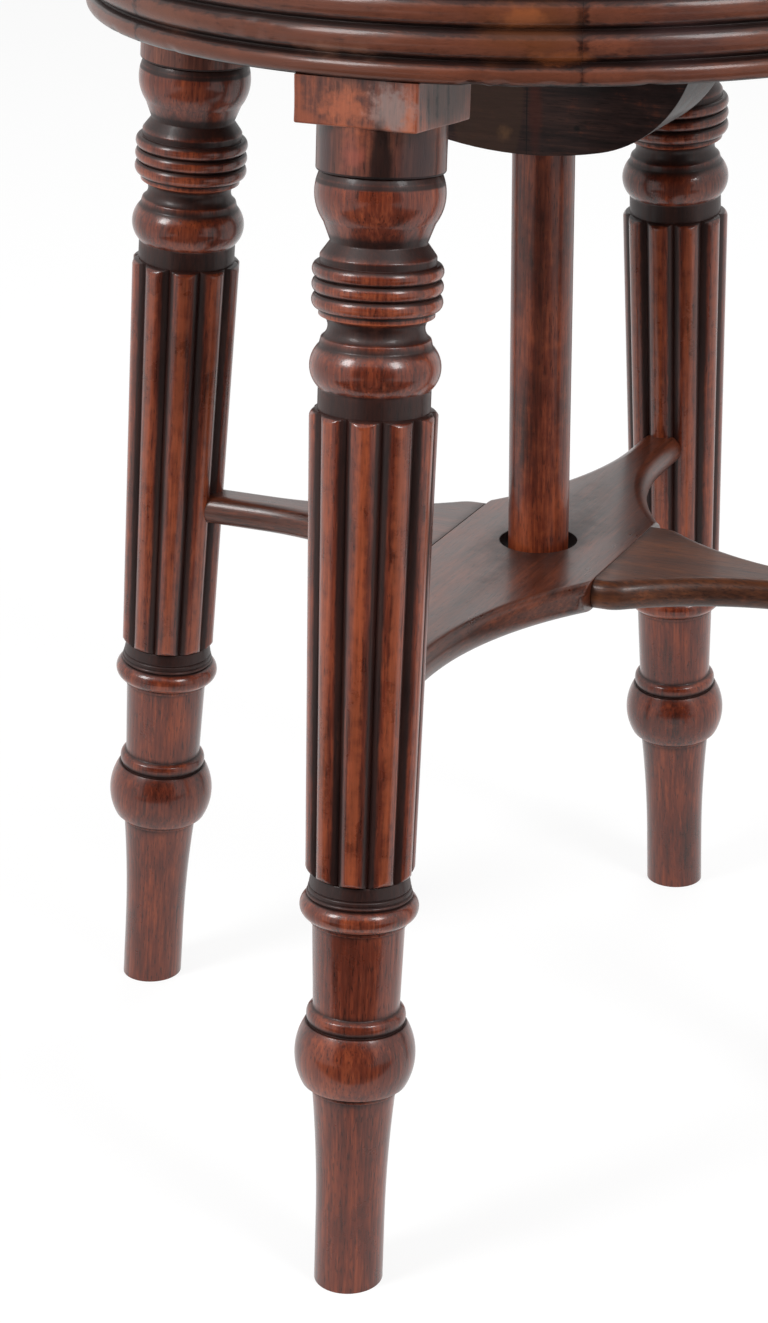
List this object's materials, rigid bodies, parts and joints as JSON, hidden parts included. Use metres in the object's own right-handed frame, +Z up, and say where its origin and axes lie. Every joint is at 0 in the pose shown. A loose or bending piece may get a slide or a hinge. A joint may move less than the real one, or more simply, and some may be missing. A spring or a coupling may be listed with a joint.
{
  "type": "revolving piano stool",
  "caption": "Round stuffed seat on a wooden screw that turns and rises in a reeded rim, on splayed turned and reeded legs joined by a flat cross stretcher.",
  "frame": {"origin": "on the floor, under the screw's axis, midway between the feet", "axes": "+Z up along the screw, -Y towards the front leg, +X towards the right leg"},
  "size_m": [0.3906, 0.3906, 0.5966],
  "materials": {
    "mahogany": "polished",
    "beech": "matte",
    "rail_wood": "matte",
    "board_wood": "matte",
    "stuffing": "matte",
    "seat_leather": "satin",
    "washer_leather": "matte",
    "gimp": "matte",
    "brass": "satin",
    "screw_steel": "satin"
  },
  "bodies": {
    "frame": {"leg_front": "mahogany", "leg_right": "mahogany", "leg_back": "mahogany", "leg_left": "mahogany", "leg_head_front": "mahogany", "leg_head_right": "mahogany", "leg_head_back": "mahogany", "leg_head_left": "mahogany", "rim_segment_1": "mahogany", "rim_segment_2": "mahogany", "rim_segment_3": "mahogany", "rim_segment_4": "mahogany", "rim_segment_5": "mahogany", "rim_segment_6": "mahogany", "rim_dowels": "beech", "cross_rail_left_right": "rail_wood", "cross_rail_front_back": "rail_wood", "stretcher_board": "mahogany", "stretcher_arm_left": "mahogany", "stretcher_arm_right": "mahogany", "stretcher_dowels": "beech"},
    "lift": {"stop_washer": "washer_leather"},
    "seat": {"seat_post": "mahogany", "seat_bearer": "rail_wood", "bearer_pin": "beech", "bearer_screws": "screw_steel", "seat_board": "board_wood", "seat_pad": "stuffing", "seat_cover": "seat_leather", "gimp_band": "gimp", "seat_nails": "brass"}
  },
  "joints": [
    {"name": "seat_rise", "type": "slide", "parent": "frame", "child": "lift", "axis": [0, 0, 1], "range_m": [-0.0481, 0.0081]},
    {"name": "seat_turn", "type": "hinge", "parent": "lift", "child": "seat", "pos_m": [0, 0, 0.5], "axis": [0, 0, 1], "range_deg": [-2160, 360]}
  ],
  "couplings": [
    {"joint": "seat_rise", "follows": "seat_turn", "m_per_rad": 0.0012732}
  ]
}
